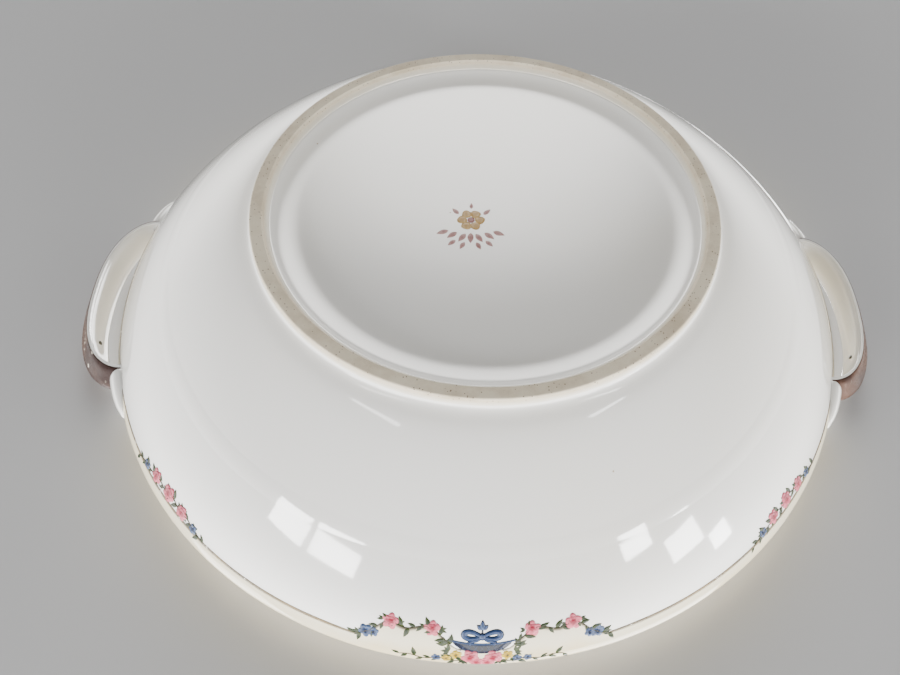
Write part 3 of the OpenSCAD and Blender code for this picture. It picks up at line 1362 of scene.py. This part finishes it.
    def vine(self, points: Sequence[Pair], spacing: float, size: float, seed: int) -> bpy.types.Mesh:
        """Grows leaves on a vine.

        Args:
            points: The vine's line.
            spacing: Distance from leaf to leaf.
            size: Size of the leaves.
            seed: Seed for their small differences.

        Returns:
            The flat vine and leaves as one mesh.
        """
        curve = bpy.data.curves.new("vine", "CURVE")
        curve.dimensions = "3D"
        spline = curve.splines.new("POLY")
        spline.points.add(len(points) - 1)
        for point, (x, y) in zip(spline.points, points):
            point.co = (x * MM, y * MM, 0.03 * MM, 1.0)
        holder = bpy.data.objects.new("vine", curve)
        bpy.context.scene.collection.objects.link(holder)
        grow = holder.modifiers.new("leaf_run", "NODES")
        grow.node_group = self.tree
        values = {
            "Leaf": self.leaf,
            "Spacing": spacing * MM,
            "Leaf size": size,
            "Stem radius": 0.14 * MM,
            "Seed": seed,
            "Stem finish": self.palette.stem,
            "Leaf finish": self.palette.leaf,
        }
        for item in self.tree.interface.items_tree:
            if item.name in values:
                grow[item.identifier] = values[item.name]
        graph = bpy.context.evaluated_depsgraph_get()
        flat = bpy.data.meshes.new_from_object(holder.evaluated_get(graph), depsgraph=graph)
        bpy.data.objects.remove(holder)
        return flat


@dataclass
class Decoration:
    """Border, gold and flowers on the outside of the wall, and the mark under the base."""

    form: BowlForm
    palette: Palette
    segments: int = 1440
    garland_half: float = 33.0
    spray_half: float = 17.0
    garland_rise: float = 6.6
    mark_place: Pair = (5.0, -8.0)
    mark_size: float = 1.12

    def __post_init__(self) -> None:
        """Sets up the transfers."""
        self.transfer = Transfer(self.palette)

    def vine_line(self, x: float) -> float:
        """Height of a large garland's vine at a distance from its middle."""
        x = abs(x)
        inner = smoothstep(5.5, 13.0, x)
        outer = 1 - smoothstep(23.0, self.garland_half, x)
        wave = 0.6 * math.sin((x - 12.0) * 0.62)
        return -0.6 - (self.garland_rise - 1.6) * inner * outer + 0.6 * (1 - outer) - wave * inner * outer

    def spray_line(self, x: float) -> float:
        """Height of a small garland's vine at a distance from its middle."""
        part = max(0.0, 1 - (abs(x) / self.spray_half) ** 2)
        return -2.6 * part + 0.4 * math.sin(x * 0.8) * part

    def edge_at(self, angle: float) -> float:
        """Lower edge of the cream border, measured up the wall from the gold line.

        Args:
            angle: Angle round the bowl in radians.

        Returns:
            The height in millimetres, below zero inside a garland.
        """
        for place in (Place.FRONT, Place.BACK):
            x = self.off_centre(angle, place)
            if abs(x) < self.garland_half:
                return self.vine_line(x)
        return 0.0

    def off_centre(self, angle: float, place: Place) -> float:
        """Distance along the wall from a transfer's middle."""
        turn = (angle - math.radians(place.value) + math.pi) % math.tau - math.pi
        return turn * self.form.belly_r

    def border(self) -> None:
        """Makes the cream border from the gold line to the lip."""
        form = self.form
        top_run = form.runs[-1] - 0.2
        rows = 16
        sheet = Sheet()
        rings = []
        for i in range(self.segments):
            angle = math.tau * i / self.segments
            low = form.line_run + self.edge_at(angle)
            lifts = [-0.01] + [0.05] * (rows - 1) + [-0.01]
            skin = [(low + (top_run - low) * j / rows, lift) for j, lift in enumerate(lifts)]
            ring = []
            for run, lift in skin:
                tone = 1 - smoothstep(0.0, 9.0, run - low) * 0.75
                ring.append(sheet.point(form.on_wall(angle, run, lift), tone))
            for run, _ in reversed(skin[1:-1]):
                ring.append(sheet.point(form.on_wall(angle, run, -0.08), 0.5))
            rings.append(ring)
        sheet.tube([list(reversed(r)) for r in rings], closed=True)
        piece = stand("cream_band", sheet.mesh("cream_band"), self.palette.cream)
        hand_over(piece, "border", "cream_border")

    def thread(self) -> None:
        """Makes the fine gold line, in lengths between the large garlands."""
        form = self.form
        half_gap = self.garland_half / form.belly_r
        section = ((-1, -0.05), (-1, 0.05), (-0.4, 0.09), (0.4, 0.09), (1, 0.05), (1, -0.05))
        sheet = Sheet()
        steps = 320
        for start, end in ((Place.FRONT, Place.BACK), (Place.BACK, Place.FRONT)):
            first = math.radians(start.value) + half_gap
            last = math.radians(end.value) - half_gap
            last += math.tau if last < first else 0.0
            rings = []
            for i in range(steps + 1):
                angle = first + (last - first) * i / steps
                taper = 0.36 * min(1.0, 0.3 + i / 12, 0.3 + (steps - i) / 12)
                ring = [
                    sheet.point(form.on_wall(angle, form.line_run + across * taper, lift))
                    for across, lift in section
                ]
                rings.append(ring)
            sheet.tube([list(reversed(r)) for r in rings])
            sheet.face(rings[0])
            sheet.face(list(reversed(rings[-1])))
        piece = stand("gold_thread", sheet.mesh("gold_thread"), self.palette.line_gold)
        hand_over(piece, "gold", "gold_line")

    def lip_gold(self) -> None:
        """Makes the gold over the lip."""
        form = self.form
        half = form.wall_t / 2
        centre = (form.rim_r - half, form.height - half)
        outside = arc_run(centre, half + 0.06, 8.0, 150.0, 16)
        inside = arc_run(centre, half - 0.08, 150.0, 8.0, 16)
        piece = stand("lip_gold", lathe(outside + inside, 320), self.palette.lip_gold)
        hand_over(piece, "gold", "rim_gilding")

    def finish_print(self, name: str, sheet: Sheet, vines: Sequence[bpy.types.Mesh],
                     place: Place) -> bpy.types.Object:
        """Joins a print's flat meshes and lays them on the wall.

        Args:
            name: Name of the piece.
            sheet: Flowers, sprigs and ribbons.
            vines: Vines with their leaves.
            place: Where the print's middle is.

        Returns:
            The finished piece.
        """
        whole = stand(name, sheet.mesh(name), *self.palette.prints())
        others = []
        for vine in vines:
            part = bpy.data.objects.new("part", vine)
            bpy.context.scene.collection.objects.link(part)
            others.append(part)
        with bpy.context.temp_override(active_object=whole, selected_editable_objects=[whole, *others]):
            bpy.ops.object.join()
        for polygon in whole.data.polygons:
            polygon.use_smooth = True
        for index in reversed(range(len(whole.data.materials))):
            if whole.data.materials[index] is None:
                whole.data.materials.pop(index=index)
        spare = whole.data.attributes.get("way")
        if spare is not None:
            whole.data.attributes.remove(spare)
        self.form.wrap(whole.data, place.value)
        return whole

    def garland(self, place: Place) -> None:
        """Makes a large garland: basket, bow, bouquet and two rose vines."""
        chance = random.Random(31 if place is Place.FRONT else 47)
        sheet, t = Sheet(), self.transfer
        vines = []
        for sign in (-1.0, 1.0):
            side = 0.0 if sign > 0 else 180.0
            line = [(sign * x, self.vine_line(x)) for x in (8.0 + 24.6 * i / 40 for i in range(41))]
            vines.append(t.vine(line, 1.75, 1.0, 3 if sign > 0 else 9))
            low = [(sign * (5.0 + 15.5 * i / 16), 3.3 + 0.4 * math.sin(i * 0.8)) for i in range(17)]
            vines.append(t.vine(low, 1.8, 1.0, 21 if sign > 0 else 27))
            for x, size in ((12.8, 2.1), (23.6, 2.15)):
                t.spray(sheet, (sign * (x - 1.9), self.vine_line(x) + 0.2), 180.0 - side, 2, chance, 0.8)
                t.spray(sheet, (sign * (x + 1.9), self.vine_line(x) - 0.2), side, 2, chance, 0.8)
                t.rose(sheet, (sign * x, self.vine_line(x)), size, chance)
            t.blossom(sheet, (sign * 29.6, self.vine_line(29.6) - 0.3), 2.0, Ink.BLUE, chance)
            t.blossom(sheet, (sign * 27.6, self.vine_line(27.6) + 1.2), 1.5, Ink.BLUE, chance)
            t.spray(sheet, (sign * 31.2, self.vine_line(31.2)), side, 3, chance, 0.9)
            for x, y, heading in ((8.2, 0.4, -20.0), (7.2, 2.6, 20.0), (4.4, 3.4, 60.0), (9.2, -1.4, -60.0)):
                t.spray(sheet, (sign * x, y), heading if sign > 0 else 180.0 - heading, 4, chance)
            t.blossom(sheet, (sign * 6.4, 1.5), 1.6, Ink.YELLOW, chance)
            t.blossom(sheet, (sign * 8.8, 2.9), 1.3, Ink.YELLOW if sign > 0 else Ink.BLUE, chance)
            t.blossom(sheet, (sign * 11.4, 2.9), 1.25, Ink.BLUE, chance)
            t.rose(sheet, (sign * 2.9, 2.1), 2.25, chance)
            t.rose(sheet, (sign * 1.3, 4.1), 1.9, chance)
        t.basket(sheet)
        t.bow(sheet, (0.0, -4.3))
        name = place.name.lower()
        piece = self.finish_print(f"{name}_garland_print", sheet, vines, place)
        hand_over(piece, "transfer", f"{name}_garland")

    def small_garland(self, place: Place) -> None:
        """Makes a small garland: a short vine with three roses."""
        chance = random.Random(int(place.value) + 400)
        sheet, t = Sheet(), self.transfer
        line = [(x, self.spray_line(x)) for x in (self.spray_half * (i / 20 - 1) for i in range(41))]
        vines = [t.vine(line, 1.75, 1.0, int(abs(place.value)))]
        for x, size in ((-7.0, 2.2), (0.0, 2.5), (7.0, 2.2)):
            for heading in (40.0, 140.0, 220.0, 320.0):
                t.spray(sheet, (x, self.spray_line(x)), heading, 2, chance, 1.15)
            t.rose(sheet, (x, self.spray_line(x)), size, chance)
        for x in (-12.5, 12.5):
            t.blossom(sheet, (x, self.spray_line(x)), 1.6, Ink.BLUE, chance)
            t.spray(sheet, (x, self.spray_line(x)), 0.0 if x > 0 else 180.0, 3, chance, 0.9)
        name = place.name.lower()
        piece = self.finish_print(f"{name}_spray_print", sheet, vines, place)
        hand_over(piece, "transfer", f"{name}_spray")

    def mark(self) -> None:
        """Makes the printed mark under the base: a plain blossom on a spray of leaves."""
        t = self.transfer
        sheet = Sheet()
        middle = (0.0, 2.6)
        for k in range(6):
            a = math.tau * k / 6
            centre = (middle[0] + 2.3 * math.cos(a), middle[1] + 2.3 * math.sin(a))
            petal = t.petal_outline(centre, 1.3, 0.08, a, 14)
            t.tile(sheet, petal, centre, 0.04, 0.02, Ink.STEM, (0.2, 1.0))
        t.tile(sheet, t.petal_outline(middle, 0.95, 0.0, 0.0, 14), middle, 0.05, 0.02, Ink.LEAF, (0.0, 0.5))
        leaves = [(0.0, -1.9, -90.0, 3.4), (0.0, 6.6, 90.0, 2.0)]
        for sign in (-1, 1):
            for k in range(3):
                leaves.append((sign * (1.3 + 2.2 * k), -2.2 + 0.5 * k, -90.0 + sign * (34 + 17 * k), 3.2))
            for k in range(2):
                leaves.append((sign * (1.5 + 2.3 * k), -5.0 + 0.6 * k, -90.0 + sign * (26 + 20 * k), 2.6))
            leaves.append((sign * 3.2, 4.6, 90.0 - sign * 42, 2.6))
        for x0, y0, heading, length in leaves:
            leaf = [(length * HEART, 0.0), *t.leaf_outline(length, length * 0.46)]
            heart, *outline = turned(leaf, (x0, y0), heading)
            t.tile(sheet, outline, heart, 0.04, 0.02, Ink.LEAF, (0.2, 1.0))
        mesh = sheet.mesh("mark")
        for vertex in mesh.vertices:
            vertex.co = Vector((
                self.mark_place[0] * MM - vertex.co.x * self.mark_size,
                self.mark_place[1] * MM + vertex.co.y * self.mark_size,
                (self.form.recess_h - 0.02) * MM - vertex.co.z,
            ))
        piece = stand("base_blossom_mark", mesh, self.palette.mark, self.palette.mark_leaf)
        hand_over(piece, "mark", "base_mark")

    def build(self) -> None:
        """Makes every layer of decoration."""
        self.border()
        self.thread()
        self.lip_gold()
        for place in (Place.FRONT, Place.BACK):
            self.garland(place)
        for place in (Place.FRONT_LEFT, Place.FRONT_RIGHT, Place.BACK_LEFT, Place.BACK_RIGHT):
            self.small_garland(place)
        self.mark()
        bpy.data.objects.remove(self.transfer.leaf)


# ---------------------------------------------------------------- studio


@dataclass
class Studio:
    """Camera, lights, and a pale table on each side of the bowl, each seen from its own side only."""

    form: BowlForm
    eye: Triple = (3.5, -150.5, -149.6)
    target: Triple = (-6.2, -35.0, 20.0)
    roll: float = -5.1
    lens: float = 29.0
    shift: Pair = (-0.0647, -0.002)
    table_half: float = 14000.0
    table_colour: Colour = (0.52, 0.525, 0.54)

    def camera(self) -> None:
        """Sets the camera under the bowl, looking up at its foot with the rim at the bottom of the frame."""
        data = bpy.data.cameras.new("camera")
        data.lens = self.lens
        data.sensor_width = 36.0
        data.shift_x, data.shift_y = self.shift
        data.clip_start, data.clip_end = 0.01, 50.0
        camera = bpy.data.objects.new("camera", data)
        bpy.context.scene.collection.objects.link(camera)
        eye, target = Vector(self.eye) * MM, Vector(self.target) * MM
        ahead = (target - eye).normalized()
        up = Vector((0.0, 0.0, -1.0))
        up = (up - ahead * up.dot(ahead)).normalized()
        right = ahead.cross(up)
        cos, sin = math.cos(math.radians(self.roll)), math.sin(math.radians(self.roll))
        up, right = (up * cos + right * sin, right * cos - up * sin)
        camera.matrix_world = Matrix.Translation(eye) @ Matrix((right, up, -ahead)).transposed().to_4x4()
        bpy.context.scene.camera = camera

    def table(self, name: str, height: float, faces_up: bool) -> None:
        """Adds a plain pale table that is clear when seen from its back.

        Args:
            name: Name of the table.
            height: Its height.
            faces_up: Whether its shown side is the upper one.
        """
        s = self.table_half
        corners = [(-s, -s, height), (s, -s, height), (s, s, height), (-s, s, height)]
        sheet = Sheet()
        numbers = [sheet.point(c) for c in corners]
        sheet.face(numbers if faces_up else list(reversed(numbers)))
        recipe = Recipe(name)
        recipe.set(Base_Color=(*self.table_colour, 1.0), Roughness=0.9, Specular_IOR_Level=0.1)
        tree = recipe.tree
        back = tree.nodes.new("ShaderNodeNewGeometry")
        clear = tree.nodes.new("ShaderNodeBsdfTransparent")
        either = tree.nodes.new("ShaderNodeMixShader")
        output = next(n for n in tree.nodes if n.type == "OUTPUT_MATERIAL")
        recipe.join(back.outputs["Backfacing"], either.inputs["Fac"])
        recipe.join(recipe.shader.outputs[0], either.inputs[1])
        recipe.join(clear.outputs[0], either.inputs[2])
        recipe.join(either.outputs[0], output.inputs["Surface"])
        plane = stand(name, sheet.mesh(name), recipe.material)
        plane.visible_shadow = False
        plane.visible_diffuse = False
        plane.visible_glossy = False

    def window(self, name: str, azimuth: float, elevation: float, size: Pair, power: float,
               distance: float) -> None:
        """Adds a bright pane that faces the bowl.

        Args:
            name: Name of the light.
            azimuth: Its direction from -Y towards +X, in degrees.
            elevation: Its direction above the horizon, in degrees.
            size: Width and height in metres.
            power: Its power in watts.
            distance: Its distance in metres.
        """
        data = bpy.data.lights.new(name, "AREA")
        data.shape = "RECTANGLE"
        data.size, data.size_y = size
        data.energy = power
        light = bpy.data.objects.new(name, data)
        bpy.context.scene.collection.objects.link(light)
        a, e = math.radians(azimuth), math.radians(elevation)
        way = Vector((math.sin(a) * math.cos(e), -math.cos(a) * math.cos(e), math.sin(e)))
        light.location = Vector((0.0, 0.0, self.form.height / 2 * MM)) + way * distance
        light.rotation_euler = way.to_track_quat("Z", "Y").to_euler()

    def build(self) -> None:
        """Sets up the whole studio."""
        self.camera()
        self.table("table_top", -0.05, True)
        self.table("turned_table", self.form.height + 0.12, False)
        near, far = 1.3, 1.5
        for window in (
            ("low_left_window", 36.0, -17.5, (0.27, 0.14), 3.6, near),
            ("low_left_side_window", 49.0, -17.0, (0.22, 0.13), 2.7, near),
            ("low_right_pane", -40.0, -18.5, (0.17, 0.10), 1.8, near),
            ("low_right_window", -51.0, -11.0, (0.20, 0.16), 3.0, near),
            ("low_right_side_window", -59.0, -4.0, (0.12, 0.14), 1.7, near),
            ("foot_left_window", 50.0, -54.0, (0.34, 0.05), 0.6, near),
            ("foot_right_window", -60.0, -54.0, (0.26, 0.05), 0.5, near),
            ("high_left_window", -40.0, 48.0, (0.9, 0.7), 16.0, far),
            ("high_right_window", 60.0, 38.0, (0.5, 0.6), 9.0, far),
            ("high_back_window", 205.0, 42.0, (0.8, 0.5), 9.0, far),
        ):
            self.window(*window)
        self.room()

    def room(self) -> None:
        """Sets a pale room that is darker straight below and glows low behind the bowl."""
        world = bpy.data.worlds.new("room")
        world.use_nodes = True
        tree = world.node_tree
        way = tree.nodes.new("ShaderNodeTexCoord")
        split = tree.nodes.new("ShaderNodeSeparateXYZ")
        tree.links.new(way.outputs["Generated"], split.inputs[0])

        side = ranged(tree, split.outputs["Y"], -0.9, 0.5, 11.5, 3.2)
        below = ranged(tree, split.outputs["Z"], -0.42, 0.16, 0.02, 1.0)
        above = ranged(tree, split.outputs["Z"], 0.1, 0.55, 1.0, 0.10)
        even = worked(tree, "MULTIPLY", worked(tree, "MULTIPLY", side, below), above)
        aim = tree.nodes.new("ShaderNodeVectorMath")
        aim.operation = "DOT_PRODUCT"
        aim.inputs[1].default_value = (0.0, 0.84, -0.543)
        tree.links.new(way.outputs["Generated"], aim.inputs[0])
        glow = ranged(tree, aim.outputs["Value"], 0.93, 0.998, 0.0, 10.0)
        background = tree.nodes["Background"]
        background.inputs["Color"].default_value = (1.0, 0.985, 0.955, 1.0)
        tree.links.new(worked(tree, "ADD", even, glow), background.inputs["Strength"])
        bpy.context.scene.world = world


def main() -> None:
    """Builds the bowl round its frame."""
    logging.basicConfig(level=logging.INFO, format="%(name)s: %(message)s")
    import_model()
    form = BowlForm.from_frame()
    palette = Palette()
    Studio(form).build()
    Porcelain(form, palette).build()
    for side in Side:
        Handle(form, palette, side).build()
    Decoration(form, palette).build()


if __name__ == "__main__":
    main()
